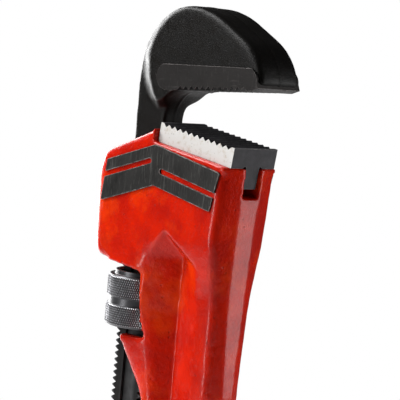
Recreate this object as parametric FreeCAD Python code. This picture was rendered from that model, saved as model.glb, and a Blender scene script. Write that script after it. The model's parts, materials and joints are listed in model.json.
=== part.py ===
import FreeCAD, Part
import math
import os

# Straight pipe wrench of the nominal 14-inch size, standing on its handle.
# Frame, in millimetres: origin at the centre of the hanging hole, +Z up the
# handle towards the jaws, +X the way the jaws open, +Y across the wrench.

V = FreeCAD.Vector

# ---- Driving dimensions: handle casting --------------------------------------
hang_hole_r = 5.5            # hanging hole through the end of the handle
end_wall = 7.5               # metal below the hanging hole
end_corner_r = 15.0          # rounding of the handle's end
back_low = (-16.5, 40.0)     # back edge of the grip, x and z, near its end
back_high = (-22.2, 164.0)   # back edge where the grip meets the shelf
back_heel = (-34.6, 184.0)   # the edge's bulge under the shelf
shelf_tip = (-36.2, 192.2)   # tip of the shelf under the nut
shelf_root = (-22.0, 190.2)  # foot of the shelf at the column
side_half_head = 15.5        # half width of the head
flare_x = (-15.5, -21.5)     # where the sides start and stop flaring towards the nut
head_wall = 6.0              # wall behind the shank
head_back_x = -56.0          # outer face of the back wall
head_back_top = (-48.8, 271.9)
head_shoulder_z = 258.0      # where the back wall starts to lean forward
head_under_back_z = 224.6    # underside of the head at the back
head_under_front_z = 219.8   # underside of the head at the column
head_plan_r = 8.0            # back corners of the head, seen from above
peak_height = 6.0            # lip behind the heel jaw, above the seat

# ---- Driving dimensions: moving jaw, in its own frame (see place_on_shank) ---
nut_centre = (-33.6, 205.0)  # pivot of the moving jaw, x and z
lean_deg = 2.4               # how far the moving jaw leans forward at rest
thread_crest_r = 11.4
thread_depth = 1.8
thread_pitch = 2.9
thread_low = -62.0           # lower end of the shank
thread_high = 30.0           # upper end of the thread
shank_half = 6.0             # half thickness between the shank's flats
groove_half = 3.6            # half width of the groove along each flat
groove_depth = 1.2
jaw_line_z = 96.3            # height of the jaw's biting line at the throat
jaw_line_deg = 3.8           # how much that line climbs towards the nose
throat_r = 15.0
crown_back_r = 36.4          # arc from the back of the shank to the crown
crown_front_r = 44.0
crown_step = 6.2             # the wide head starts this far inside the back of the crown
step_lift = 0.9              # the step runs out over the crown by this much
head_overhang = 7.8          # the wide head starts this far below the biting line
step_knee = (2.6, 3.3)       # bend of the step's line, x and how far below the biting line
crown_front_deg = 28.0
crown_flat = 14.0            # straight stretch from the crown to the nose
nose_r = 28.0
nose_deg = 52.0
jaw_half = 11.6              # half width of the jaw's cast sides
band_half = 12.5             # half width across the milled bands
band_height = 10.6
band_back = 9.5
nose_bevel = 5.6             # run of the bevel under the nose
hook_tooth_first = 25.5
hook_tooth_pitch = 3.55
hook_tooth_count = 12
hook_tooth_depth = 1.6

# ---- Driving dimensions: nut ---------------------------------------------------
nut_r = 16.9
nut_band_low = 9.6           # height of the lower knurled band
nut_groove = 3.8
nut_band_high = 9.5
nut_groove_depth = 1.1
nut_hub_r = 13.7
nut_hub = 2.0
nut_chamfer = 1.3

# ---- Driving dimensions: heel jaw and its pin ----------------------------------
heel_top_back = (-14.3, 285.8)
heel_deg = 10.3              # the heel jaw's slope, down towards the front
heel_length = 47.4
heel_height = 8.65
heel_half = 12.75
heel_tooth_pitch = 3.65
heel_tooth_count = 12
heel_tooth_depth = 1.5
heel_tooth_first = 3.6
stem_half = 3.85
stem_height = 8.9
stem_back = 11.0             # the stem starts this far from the jaw's back
relief_r = 0.8
pin_r = 1.6
pin_wall = 0.55
pin_slit = 0.6
pin_along = 36.5             # the pin's place along the heel jaw
pin_below_seat = 4.6
pin_length = 24.0

# ---- Driving dimensions: springs -----------------------------------------------
leaf_half = 4.5
leaf_thickness = 0.9
leaf_foot_z = 227.0
leaf_foot_length = 9.0
leaf_tip_z = 266.0
rivet_r = 1.5
rivet_head_r = 2.8
rivet_head = 1.1
coil_r = 3.0
coil_wire_r = 0.4
coil_turns = 4
coil_z = 256.0
coil_seat_depth = 1.5

# ---- Clearances and reliefs -------------------------------------------------
shank_side_gap = 0.5         # shank flats to channel walls
shank_front_gap = 0.5        # thread crests to the channel's front wall
rock_gap = 1.6               # extra room in front of the shank below the nut
nut_pocket_gap = 1.0         # nut to the pocket's round wall
nut_bore_gap = 0.08          # thread crest to nut bore, radial
heel_seat_gap = 0.02
heel_back_gap = 0.25
stem_side_gap = 0.55
stem_floor_gap = 3.9
pin_gap = 0.02
leaf_gap = 0.35              # leaf spring to thread crests
hole_gap = 0.02

# ---- Driving dimensions: raised chevrons on the head ---------------------------
pad_height = 0.8
pad_apex = (-13.5, 276.0)
pad_left_x = (-45.2, -48.6)    # left end, at the top and at the bottom
pad_right_x = (27.4, 22.6)     # right end, at the top and at the bottom
pad_left_deg = 14.8
pad_right_deg = 12.9
pad_drop = 17.8                # height of the chevron at its apex
pad_slot = 2.3
pad_slot_left = 6.4            # slot's middle below the top edge, left arm
pad_slot_right = 10.4          # the same on the right arm
pad_slot_web = (2.0, 3.6)      # metal between the slots and the apex, left and right

# Stations of the handle's outer form: height, half width and x of the front
# flat, half width and x of the front side edge, half width beside the nut.
stations = [
    (-20.0, 3.0, 16.5, 8.0, 13.0, 8.0),
    (60.0, 3.0, 18.0, 8.6, 14.5, 8.6),
    (165.0, 3.0, 23.8, 9.8, 20.2, 9.8),
    (190.0, 4.2, 24.8, 10.4, 22.0, 12.0),
    (212.0, 5.0, 26.0, 11.4, 23.6, 15.0),
    (236.0, 5.0, 28.2, side_half_head, 25.2, side_half_head),
    (248.0, 5.0, 29.6, side_half_head, 26.8, side_half_head),
    (268.6, 5.5, 32.0, side_half_head, 29.4, side_half_head),
    (300.0, 6.0, 35.4, side_half_head, 32.6, side_half_head),
]

# Stations of the recess in each side: height, half width at the rim, x of the
# back rim, x and half width of the valley, x of the front rim.
recess_stations = [
    (16.0, 8.1, -9.0, -3.5, 3.0, 7.5),
    (60.0, 8.6, -11.5, -5.0, 3.1, 9.0),
    (165.0, 9.8, -15.8, -7.4, 3.3, 10.9),
    (202.0, 10.9, -16.6, -6.1, 3.5, 13.2),
    (225.0, 13.6, -15.6, -4.3, 3.7, 14.0),
    (248.0, 15.5, -13.0, -2.5, 4.0, 14.0),
]
recess_apex = (-5.2, 239.5)    # point of the recess at the rim
recess_roof_deg = (44.0, 33.0)  # slopes of the roof, back and front
recess_roof_draft = 38.0
recess_end_z = 30.0

far = 80.0                     # reach of cutting solids past the work


# ---- Helpers --------------------------------------------------------------------
def rounded_wire(corners, plane):
    """Closed wire through (u, v, radius) corners, each rounded by its radius."""
    count = len(corners)
    points = [V(u, v, 0) for u, v, _ in corners]
    starts, mids, ends = [], [], []
    for i, (_, _, radius) in enumerate(corners):
        here = points[i]
        back = (points[i - 1] - here).normalize()
        ahead = (points[(i + 1) % count] - here).normalize()
        half = back.getAngle(ahead) / 2.0
        if radius == 0 or half > math.radians(89.9):
            starts.append(here)
            mids.append(None)
            ends.append(here)
            continue
        reach = radius / math.tan(half)
        middle = (back + ahead).normalize()
        starts.append(here + back * reach)
        mids.append(here + middle * (radius / math.sin(half) - radius))
        ends.append(here + ahead * reach)
    edges = []
    for i in range(count):
        if mids[i] is not None:
            edges.append(Part.Arc(plane(starts[i]), plane(mids[i]), plane(ends[i])).toShape())
        here, there = ends[i], starts[(i + 1) % count]
        if here.distanceToPoint(there) > 1e-6:
            edges.append(Part.LineSegment(plane(here), plane(there)).toShape())
    return Part.Wire(edges)


def side_plane(point):
    return V(point.x, 0, point.y)


def plan_plane(point):
    return V(point.x, point.y, 0)


def side_prism(corners, half):
    """Solid with its outline in the XZ plane, reaching half each way along Y."""
    face = Part.Face(rounded_wire(corners, side_plane))
    face.translate(V(0, -half, 0))
    return face.extrude(V(0, 2 * half, 0))


def sharp(points):
    return [(x, z, 0) for x, z in points]


def box(x0, x1, half, z0, z1):
    return Part.makeBox(x1 - x0, 2 * half, z1 - z0, V(x0, -half, z0))


def cylinder(radius, start, direction, length):
    return Part.makeCylinder(radius, length, V(*start), V(*direction))


def revolve(outline):
    """Solid of revolution about Z of an outline of (radius, z) points."""
    points = [V(r, 0, z) for r, z in outline]
    face = Part.Face(Part.makePolygon(points + points[:1]))
    return face.revolve(V(0, 0, 0), V(0, 0, 1), 360)


def ruled(sections):
    wires = []
    for section in sections:
        points = [V(*p) for p in section]
        wires.append(Part.makePolygon(points + points[:1]))
    return Part.makeLoft(wires, True, True)


def mirrored(shape):
    return shape.mirror(V(0, 0, 0), V(0, 1, 0))


def place_on_shank(shape):
    """Move a shape from the moving jaw's frame, nut centre at 0, to the wrench's."""
    shape.rotate(V(0, 0, 0), V(0, 1, 0), lean_deg)
    shape.translate(V(nut_centre[0], 0, nut_centre[1]))
    return shape


def shank_x(z):
    """x of the shank's axis at a height of the wrench's frame."""
    return nut_centre[0] + (z - nut_centre[1]) * math.tan(math.radians(lean_deg))


def polar(length, degrees):
    angle = math.radians(degrees)
    return length * math.cos(angle), length * math.sin(angle)


# ---- Places worked out from the dimensions -------------------------------------
heel_along = polar(1.0, -heel_deg)
heel_down = polar(1.0, -90.0 - heel_deg)


def on_heel(along, down):
    """Point of the wrench's frame at a distance along and below the heel jaw's top."""
    return (heel_top_back[0] + along * heel_along[0] + down * heel_down[0],
            heel_top_back[1] + along * heel_along[1] + down * heel_down[1])


channel_front_x = shank_x(heel_top_back[1]) + thread_crest_r + shank_front_gap
channel_back_x = head_back_x + head_wall
channel_half = shank_half + shank_side_gap
nut_low = -(nut_band_low + nut_groove + nut_band_high) / 2.0
nut_high = -nut_low + nut_hub
pin_centre = on_heel(pin_along, heel_height + pin_below_seat)
leaf_back_x = channel_back_x + leaf_thickness
leaf_front_x = shank_x(coil_z) - thread_crest_r - leaf_gap


# ---- Handle casting ------------------------------------------------------------
def head_and_grip():
    """The casting's outer form: stations along the handle, trimmed by the side outline."""
    sections = []
    for z, flat, flat_x, edge, edge_x, back in stations:
        half = [(flat_x, -flat, z), (edge_x, -edge, z), (flare_x[0], -edge, z),
                (flare_x[1], -back, z), (head_back_x - far, -back, z)]
        other = [(x, -y, height) for x, y, height in reversed(half)]
        sections.append(half + other)
    form = ruled(sections)
    seat_back = on_heel(-heel_back_gap, heel_height + heel_seat_gap)
    lip_top = on_heel(-heel_back_gap, heel_height - peak_height)
    seat_front = on_heel(heel_length + far, heel_height + heel_seat_gap)
    end_z = -hang_hole_r - end_wall
    outline = [
        (seat_front[0], seat_front[1], 0),
        (seat_back[0], seat_back[1], 0),
        (lip_top[0], lip_top[1], 0.8),
        (head_back_top[0], head_back_top[1], 3.0),
        (head_back_x, head_shoulder_z, 18.0),
        (head_back_x + 1.5, head_under_back_z, 6.0),
        (shelf_root[0] + 1.0, head_under_front_z, 1.5),
        (shelf_root[0] + 1.0, shelf_root[1], 1.5),
        (shelf_tip[0], shelf_tip[1], 0.6),
        (back_heel[0], back_heel[1], 14.0),
        (back_high[0], back_high[1], 22.0),
        (back_low[0], back_low[1], 60.0),
        (back_low[0], end_z, end_corner_r),
        (-back_low[0], end_z, end_corner_r),
        (-back_low[0], recess_end_z, 40.0),
        (far, recess_end_z + far, 0),
    ]
    form = form.common(side_prism(outline, far))
    plan = [
        (head_back_x, -side_half_head, head_plan_r),
        (far, -side_half_head, 0),
        (far, side_half_head, 0),
        (head_back_x, side_half_head, head_plan_r),
    ]
    face = Part.Face(rounded_wire(plan, plan_plane))
    face.translate(V(0, 0, -far))
    return form.common(face.extrude(V(0, 0, 6 * far)))


def recess():
    """The hollow in the near side: a leaning valley with a pointed, drafted top."""
    sections = []
    for z, rim, back_x, valley_x, valley, front_x in recess_stations:
        grow = (rim + 4.0 - valley) / (rim - valley)
        sections.append([
            (valley_x + (back_x - valley_x) * grow, -rim - 4.0, z),
            (valley_x, -valley, z),
            (valley_x + (front_x - valley_x) * grow, -rim - 4.0, z),
        ])
    hollow = ruled(sections)
    apex = V(recess_apex[0], -side_half_head, recess_apex[1])
    for slope, way in zip(recess_roof_deg, (-1, 1)):
        roof = Part.makeBox(4 * far, 4 * far, far, V(-2 * far, -2 * far, 0))
        roof.rotate(V(0, 0, 0), V(1, 0, 0), -recess_roof_draft)
        roof.rotate(V(0, 0, 0), V(0, 1, 0), way * slope)
        roof.translate(apex)
        hollow = hollow.cut(roof)
    foot = Part.makeBox(4 * far, 4 * far, far, V(-2 * far, -2 * far, -far))
    foot.rotate(V(0, 0, 0), V(1, 0, 0), recess_roof_draft)
    foot.translate(V(0, -stations[0][3], recess_end_z))
    return hollow.cut(foot)


def chevron_pad():
    """Raised two-bar chevron on the near side of the head."""
    left = math.tan(math.radians(pad_left_deg))
    right = math.tan(math.radians(pad_right_deg))
    apex_x, apex_z = pad_apex

    def top(x):
        return apex_z + (x - apex_x) * left if x < apex_x else apex_z - (x - apex_x) * right

    low_left = (pad_left_x[1], top(pad_left_x[1]) - pad_drop)
    low_right = (pad_right_x[1], top(pad_right_x[1]) - pad_drop)
    corners = [
        (pad_left_x[0], top(pad_left_x[0]), 0.8),
        (apex_x, apex_z, 1.5),
        (pad_right_x[0], top(pad_right_x[0]), 0.8),
        (low_right[0], low_right[1], 0.8),
        (apex_x, apex_z - pad_drop, 1.5),
        (low_left[0], low_left[1], 0.8),
    ]
    pad = side_prism(corners, side_half_head + pad_height)
    pad = pad.cut(box(-far, far, side_half_head - 0.3, 0, 4 * far))
    for x_in, x_out, below in (
            (apex_x - pad_slot_web[0], pad_left_x[1] - 3.0, pad_slot_left),
            (apex_x + pad_slot_web[1], pad_right_x[0] + 3.0, pad_slot_right)):
        half = pad_slot / 2.0
        slot = [
            (x_in, top(x_in) - below + half, half * 0.95),
            (x_in, top(x_in) - below - half, half * 0.95),
            (x_out, top(x_out) - below - half, 0),
            (x_out, top(x_out) - below + half, 0),
        ]
        pad = pad.cut(side_prism(slot, far))
    return pad


def handle_body():
    body = head_and_grip()
    hollow = recess()
    body = body.cut(hollow).cut(mirrored(hollow))
    # Channel for the shank through the head, and the fork under the nut.
    channel_floor = head_under_front_z - far / 4
    body = body.cut(box(channel_back_x, channel_front_x, channel_half,
                        channel_floor, heel_top_back[1] + far))
    fork_front_x = shank_x(nut_centre[1]) + thread_crest_r + shank_front_gap + rock_gap / 2
    body = body.cut(box(-far, fork_front_x, channel_half, thread_low, nut_centre[1]))
    # Round pocket for the nut, between the shelf and the head.
    pocket = cylinder(nut_r + nut_pocket_gap,
                      (nut_centre[0], 0, shelf_root[1]), (0, 0, 1),
                      head_under_front_z - shelf_root[1])
    body = body.cut(pocket)
    # Slot for the heel jaw's stem, open at the front.
    seat = heel_height + heel_seat_gap
    floor = heel_height + stem_height + stem_floor_gap
    slot = [on_heel(stem_back - 2.0, seat - 3.0), on_heel(stem_back - 2.0, floor),
            on_heel(heel_length + 8.0, floor), on_heel(heel_length + 8.0, seat - 3.0)]
    body = body.cut(side_prism(sharp(slot), stem_half + stem_side_gap))
    # Holes: heel jaw pin, spring rivet, coil spring seat, hanging hole.
    body = body.cut(cylinder(pin_r + pin_gap, (pin_centre[0], -far, pin_centre[1]),
                             (0, 1, 0), 2 * far))
    rivet_z = leaf_foot_z + leaf_foot_length / 2
    body = body.cut(cylinder(rivet_r + hole_gap, (head_back_x - 1, 0, rivet_z), (1, 0, 0), head_wall + 2))
    body = body.cut(cylinder(coil_r + coil_wire_r + 0.3, (channel_back_x - coil_seat_depth, 0, coil_z),
                             (1, 0, 0), 2 * coil_seat_depth))
    body = body.cut(cylinder(hang_hole_r, (0, -far, 0), (0, 1, 0), 2 * far))
    pad = chevron_pad()
    return body.fuse(pad).removeSplitter()


# ---- Moving jaw -----------------------------------------------------------------
def jaw_outline():
    """Corners of the moving jaw's side outline, in its own frame, as one wire."""
    back_x = -(thread_crest_r - thread_depth)
    front_x = -back_x
    edges = []

    def arc(centre, radius, start_deg, end_deg):
        points = []
        for angle in (start_deg, (start_deg + end_deg) / 2.0, end_deg):
            dx, dz = polar(radius, angle)
            points.append(V(centre[0] + dx, 0, centre[1] + dz))
        edges.append(Part.Arc(*points).toShape())
        return points[-1]

    def line(start, end):
        edges.append(Part.LineSegment(start, end).toShape())
        return end

    throat_centre = (front_x + throat_r, jaw_line_z - throat_r)
    here = line(V(back_x, 0, thread_high), V(back_x, 0, jaw_line_z))
    crown = (back_x + crown_back_r, jaw_line_z + crown_back_r)
    here = arc((crown[0], jaw_line_z), crown_back_r, 180.0, 90.0)
    here = arc((crown[0], crown[1] - crown_front_r), crown_front_r, 90.0, 90.0 - crown_front_deg)
    dx, dz = polar(crown_flat, -crown_front_deg)
    here = line(here, here + V(dx, 0, dz))
    dx, dz = polar(nose_r, 90.0 - crown_front_deg)
    nose_centre = (here.x - dx, here.z - dz)
    here = arc(nose_centre, nose_r, 90.0 - crown_front_deg, 90.0 - crown_front_deg - nose_deg)
    slope = math.tan(math.radians(jaw_line_deg))
    bite_end_x = here.x - nose_bevel
    bite_end = V(bite_end_x, 0, jaw_line_z + (bite_end_x - throat_centre[0]) * slope)
    here = line(here, bite_end)
    here = line(here, V(throat_centre[0], 0, jaw_line_z))
    here = arc(throat_centre, throat_r, 90.0, 180.0)
    here = line(here, V(front_x, 0, thread_high))
    line(here, V(back_x, 0, thread_high))
    return Part.Wire(edges)


def slab(wire, half):
    face = Part.Face(wire)
    face.translate(V(0, -half, 0))
    return face.extrude(V(0, 2 * half, 0))


def threaded_shank():
    """Thread rings on a round bar, cut to the shank's flats, with side grooves."""
    root = thread_crest_r - thread_depth
    count = int((thread_high - thread_low) / thread_pitch)
    outline = [(0, thread_low), (root - 1.0, thread_low), (root, thread_low + 1.0)]
    for turn in range(count - 1):
        start = thread_low + 1.0 + turn * thread_pitch
        outline.append((thread_crest_r, start + 0.40 * thread_pitch))
        outline.append((thread_crest_r, start + 0.55 * thread_pitch))
        outline.append((root, start + 0.95 * thread_pitch))
        outline.append((root, start + thread_pitch))
    outline.append((root, thread_high + 2.0))
    outline.append((0, thread_high + 2.0))
    bar = revolve(outline)
    bar = bar.common(box(-far, far, shank_half, thread_low - 1, thread_high + 2))
    for side in (-1, 1):
        groove = Part.makeBox(2 * groove_half, 2 * groove_depth, thread_high - thread_low + 12.0,
                              V(-groove_half, side * shank_half - groove_depth, thread_low - 2.0))
        bar = bar.cut(groove)
    return bar


def jaw_teeth(first, pitch, count, depth, half):
    """Row of vee cutters along +X at height 0, pointing up."""
    cutters = []
    for i in range(count):
        x = first + i * pitch
        vee = [(x - pitch / 2, -1.0), (x - pitch / 2, 0), (x, depth), (x + pitch / 2, 0), (x + pitch / 2, -1.0)]
        cutters.append(side_prism(sharp(vee), half + 1.0))
    return cutters[0].fuse(cutters[1:])


def hook_jaw():
    wire = jaw_outline()
    shank = slab(wire, shank_half)
    head = slab(wire, jaw_half)
    # The head is wide only in front of the throat and a step inside the crown.
    front_x = thread_crest_r - thread_depth
    step_r = crown_back_r - crown_step
    step_centre = (-front_x + crown_back_r, jaw_line_z + crown_back_r + step_lift - step_r)
    step_low = jaw_line_z + 1.5 * band_height
    reach = math.sqrt(step_r ** 2 - (step_low - step_centre[1]) ** 2)
    root = V(front_x - 0.6, 0, jaw_line_z - head_overhang)
    knee = V(step_knee[0], 0, jaw_line_z - step_knee[1])
    start = V(step_centre[0] - reach, 0, step_low)
    dx, dz = polar(step_r, 135.0)
    top = V(step_centre[0], 0, step_centre[1] + step_r)
    wide = Part.Wire([
        Part.LineSegment(root, knee).toShape(),
        Part.LineSegment(knee, start).toShape(),
        Part.Arc(start, V(step_centre[0] + dx, 0, step_centre[1] + dz), top).toShape(),
        Part.LineSegment(top, V(2 * far, 0, top.z)).toShape(),
        Part.LineSegment(V(2 * far, 0, top.z), V(2 * far, 0, root.z)).toShape(),
        Part.LineSegment(V(2 * far, 0, root.z), root).toShape(),
    ])
    head = head.common(slab(wide, far))
    tip_x = wire.BoundBox.XMax
    band_top = math.tan(math.radians(jaw_line_deg))
    band_front = tip_x - 3.4
    band = [
        (band_back, jaw_line_z - 3.0, 0),
        (tip_x, jaw_line_z - 3.0, 0),
        (tip_x, jaw_line_z + 5.0, 3.0),
        (band_front, jaw_line_z + band_height + (band_front - band_back) * band_top / 2, 5.0),
        (band_back, jaw_line_z + band_height, 5.5),
    ]
    bands = slab(wire, band_half).common(side_prism(band, far))
    jaw = shank.fuse([head, bands])
    teeth = jaw_teeth(hook_tooth_first, hook_tooth_pitch, hook_tooth_count, hook_tooth_depth, band_half)
    teeth.rotate(V(0, 0, 0), V(0, 1, 0), -jaw_line_deg)
    teeth.translate(V(0, 0, jaw_line_z - (front_x + throat_r) * band_top))
    jaw = jaw.cut(teeth)
    jaw = jaw.fuse(threaded_shank()).removeSplitter()
    return place_on_shank(jaw)


# ---- Nut, heel jaw, pin and springs ----------------------------------------------
def adjusting_nut():
    bore = thread_crest_r + nut_bore_gap
    groove_low = nut_low + nut_band_low
    groove_high = groove_low + nut_groove
    band_top = groove_high + nut_band_high
    outline = [
        (bore, nut_low), (nut_r - nut_chamfer, nut_low), (nut_r, nut_low + nut_chamfer),
        (nut_r, groove_low), (nut_r - nut_groove_depth, groove_low + 0.4),
        (nut_r - nut_groove_depth, groove_high - 0.4), (nut_r, groove_high),
        (nut_r, band_top - nut_chamfer / 2), (nut_r - nut_chamfer / 2, band_top),
        (nut_hub_r, band_top), (nut_hub_r, nut_high), (bore, nut_high),
    ]
    return place_on_shank(revolve(outline))


def heel_jaw():
    block = [on_heel(0, 0), on_heel(heel_length, 0),
             on_heel(heel_length, heel_height), on_heel(0, heel_height)]
    stem = [on_heel(stem_back, heel_height - 2.0), on_heel(heel_length, heel_height - 2.0),
            on_heel(heel_length, heel_height + stem_height), on_heel(stem_back, heel_height + stem_height)]
    jaw = side_prism(sharp(block), heel_half).fuse(side_prism(sharp(stem), stem_half))
    teeth = jaw_teeth(heel_tooth_first, heel_tooth_pitch, heel_tooth_count, heel_tooth_depth, heel_half)
    teeth.rotate(V(0, 0, 0), V(1, 0, 0), 180)
    teeth.rotate(V(0, 0, 0), V(0, 1, 0), heel_deg)
    teeth.translate(V(heel_top_back[0], 0, heel_top_back[1]))
    jaw = jaw.cut(teeth)
    start = on_heel(-1.0, heel_height)
    for side in (-1, 1):
        relief = cylinder(relief_r, (start[0], side * (stem_half + relief_r), start[1]),
                          (heel_along[0], 0, heel_along[1]), heel_length + 2.0)
        jaw = jaw.cut(relief)
    jaw = jaw.cut(cylinder(pin_r + pin_gap, (pin_centre[0], -far, pin_centre[1]), (0, 1, 0), 2 * far))
    return jaw.removeSplitter()


def heel_jaw_pin():
    start = (pin_centre[0], -pin_length / 2, pin_centre[1])
    pin = cylinder(pin_r, start, (0, 1, 0), pin_length)
    pin = pin.cut(cylinder(pin_r - pin_wall, (start[0], start[1] - 1, start[2]), (0, 1, 0), pin_length + 2))
    slit = Part.makeBox(pin_r + 1, pin_length + 2, pin_slit,
                        V(start[0], start[1] - 1, start[2] - pin_slit / 2))
    return pin.cut(slit)


def flat_spring():
    """Leaf spring: its foot lies on the back wall, its blade leans on the shank."""
    foot_top = leaf_foot_z + leaf_foot_length
    bend_z = coil_z - coil_r - 3.0
    back = [(channel_back_x, leaf_foot_z), (channel_back_x, foot_top),
            (leaf_front_x - leaf_thickness, bend_z), (leaf_front_x - leaf_thickness, leaf_tip_z - 4.0),
            (leaf_front_x - leaf_thickness - 1.6, leaf_tip_z)]
    front = [(x + leaf_thickness, z) for x, z in reversed(back)]
    strip = side_prism(sharp(back + front), leaf_half)
    rivet_z = leaf_foot_z + leaf_foot_length / 2
    return strip.cut(cylinder(rivet_r + hole_gap, (channel_back_x - 1, 0, rivet_z), (1, 0, 0), 4.0))


def spring_rivet():
    rivet_z = leaf_foot_z + leaf_foot_length / 2
    shank = cylinder(rivet_r, (head_back_x + 0.3, 0, rivet_z), (1, 0, 0),
                     leaf_back_x - head_back_x - 0.3)
    head = cylinder(rivet_head_r, (leaf_back_x, 0, rivet_z), (1, 0, 0), rivet_head)
    rivet = shank.fuse(head).removeSplitter()
    edges = [e for e in rivet.Edges if abs(e.BoundBox.XMin - (leaf_back_x + rivet_head)) < 1e-6]
    return rivet.makeFillet(0.7 * rivet_head, edges)


def coil_spring():
    start_x = channel_back_x - coil_seat_depth + coil_wire_r
    end_x = leaf_front_x - leaf_thickness - coil_wire_r - 0.05
    pitch = (end_x - start_x) / coil_turns
    helix = Part.makeHelix(pitch, end_x - start_x, coil_r)
    circle = Part.Wire(Part.Circle(V(coil_r, 0, 0), V(0, 1, 0), coil_wire_r).toShape())
    spring = Part.Wire(helix.Edges).makePipeShell([circle], True, True)
    spring.rotate(V(0, 0, 0), V(0, 1, 0), 90)
    spring.translate(V(start_x, 0, coil_z))
    return spring


makers = {
    "handle_body": handle_body,
    "hook_jaw": hook_jaw,
    "adjusting_nut": adjusting_nut,
    "heel_jaw": heel_jaw,
    "heel_jaw_pin": heel_jaw_pin,
    "flat_spring": flat_spring,
    "coil_spring": coil_spring,
    "spring_rivet": spring_rivet,
}

os.makedirs("parts", exist_ok=True)
for name, make in makers.items():
    shape = make()
    solids = shape.Solids
    if len(solids) != 1 or not solids[0].isValid():
        raise RuntimeError(name + ": " + str(len(solids)) + " solids, valid " + str(shape.isValid()))
    solids[0].exportStep("parts/" + name + ".step")
    size = solids[0].BoundBox
    print(name, "volume %.0f mm3" % solids[0].Volume,
          "x %.1f %.1f  y %.1f %.1f  z %.1f %.1f" % (size.XMin, size.XMax, size.YMin,
                                                   size.YMax, size.ZMin, size.ZMax))
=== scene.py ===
import json
import math

import bmesh
import bpy
from bpy.props import FloatProperty, FloatVectorProperty, IntProperty, PointerProperty
from mathutils import Matrix, Vector, noise


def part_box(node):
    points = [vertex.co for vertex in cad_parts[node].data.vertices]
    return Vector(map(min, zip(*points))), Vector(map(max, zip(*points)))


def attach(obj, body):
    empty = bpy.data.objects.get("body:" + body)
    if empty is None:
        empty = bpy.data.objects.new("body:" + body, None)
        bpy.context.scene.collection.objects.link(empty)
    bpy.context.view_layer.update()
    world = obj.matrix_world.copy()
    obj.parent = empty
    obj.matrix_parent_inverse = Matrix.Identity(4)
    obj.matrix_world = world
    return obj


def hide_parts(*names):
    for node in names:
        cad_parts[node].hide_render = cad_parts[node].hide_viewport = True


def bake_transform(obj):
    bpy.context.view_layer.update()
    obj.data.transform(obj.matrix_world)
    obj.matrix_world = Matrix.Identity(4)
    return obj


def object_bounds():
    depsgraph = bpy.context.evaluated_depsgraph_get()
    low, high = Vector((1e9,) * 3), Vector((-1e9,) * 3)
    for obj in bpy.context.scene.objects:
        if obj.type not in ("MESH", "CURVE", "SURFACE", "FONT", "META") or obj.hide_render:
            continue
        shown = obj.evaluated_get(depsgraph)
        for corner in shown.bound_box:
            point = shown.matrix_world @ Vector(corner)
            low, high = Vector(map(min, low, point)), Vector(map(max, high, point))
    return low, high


bl_info = {
    "name": "Straight pipe wrench",
    "version": (1, 0, 0),
    "blender": (4, 5, 0),
    "location": "View3D > Sidebar > Wrench",
    "description": "Finished surfaces and detail for a straight pipe wrench",
    "category": "Add Mesh",
}

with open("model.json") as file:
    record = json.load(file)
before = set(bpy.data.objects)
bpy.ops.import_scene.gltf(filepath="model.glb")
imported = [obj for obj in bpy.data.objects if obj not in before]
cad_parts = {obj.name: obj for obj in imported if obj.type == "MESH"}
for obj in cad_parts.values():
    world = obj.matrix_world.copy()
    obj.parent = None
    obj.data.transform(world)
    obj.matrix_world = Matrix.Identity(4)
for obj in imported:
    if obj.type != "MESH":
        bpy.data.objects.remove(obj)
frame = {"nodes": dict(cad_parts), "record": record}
CAD_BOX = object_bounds()
MM = 0.001

# The moving jaw's own frame: origin at the nut's centre, Z up the shank.
NUT_JOINT = next(j for j in frame["record"]["behaviour"]["joints"] if j["name"] == "nut_spin")
NUT_CENTRE = Vector(NUT_JOINT["pos_m"])
SHANK = Matrix.Translation(NUT_CENTRE) @ Matrix.Rotation(
    math.atan2(NUT_JOINT["axis"][0], NUT_JOINT["axis"][2]), 4, "Y")

# Sizes that the CAD pieces have too, in millimetres.
HEAD_HALF = 15.5
SEAT_BACK = (-15.85, 277.2)
SEAT_SLOPE = math.radians(10.3)
SHANK_HALF = 6.0
THREAD_CREST = 11.4
THREAD_ROOT = 9.6
THREAD_PITCH = 2.9
THREAD_LOW = -62.0
NECK_LOW = 30.2
JAW_LINE = (24.6, 96.3)
JAW_SLOPE = math.radians(3.8)
THROAT_R = 15.0
JAW_TIP = (74.2, 101.3)
CROWN = (26.8, 96.3)
TOOTH_FIRST = 25.5
TOOTH_PITCH = 3.55
TOOTH_COUNT = 12
TOOTH_DEPTH = 1.6
BAND_HALF = 12.5

# The forging's flare from the thin neck to the wide head, in the moving jaw's own frame.
HEAD_CAST_HALF = 11.6
STEP_LINE = ((9.0, 87.5), (3.4, 92.5), (-0.8, 100.5), (-2.4, 110.0))
STEP_FOOT = (8.5, 87.0)
STEP_FOOT_FALL = 0.25
STEP_CENTRE = (26.8, 103.4)
CHANNEL_TOP = (0.0, 84.2)
CHANNEL_RISE = 0.34
CHANNEL_FADE = 3.6
STEP_R = 30.2
FLARE_BACK = 7.4
FLARE_FRONT = 2.2
FLARE_BACK_X = -2.0
FLARE_RUN = 26.0

# Where the casting is machined or recessed. Heights over the seat are square to it.
SEAT_SKIN = -1.6
SEAT_BACK_X = -16.5
SLOT_HALF = 7.0
SLOT_FLOOR = -16.5
SLOT_BACK_X = -6.0
CHANNEL_HALF = 7.4
CHANNEL_FLOOR_Z = 218.0
POCKET_Z = (187.0, 223.0)
POCKET_R = 18.8
RECESS_X = (-14.0, 16.5)
RECESS_TOP_Z = 240.0
FLANK_HALF = 8.0
HEAD_BACK_X = -20.0

# The pads are cut off just outside the head's side and run this far into it.
PAD_CLEAR = 0.02
PAD_SUNK = 0.8

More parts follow.
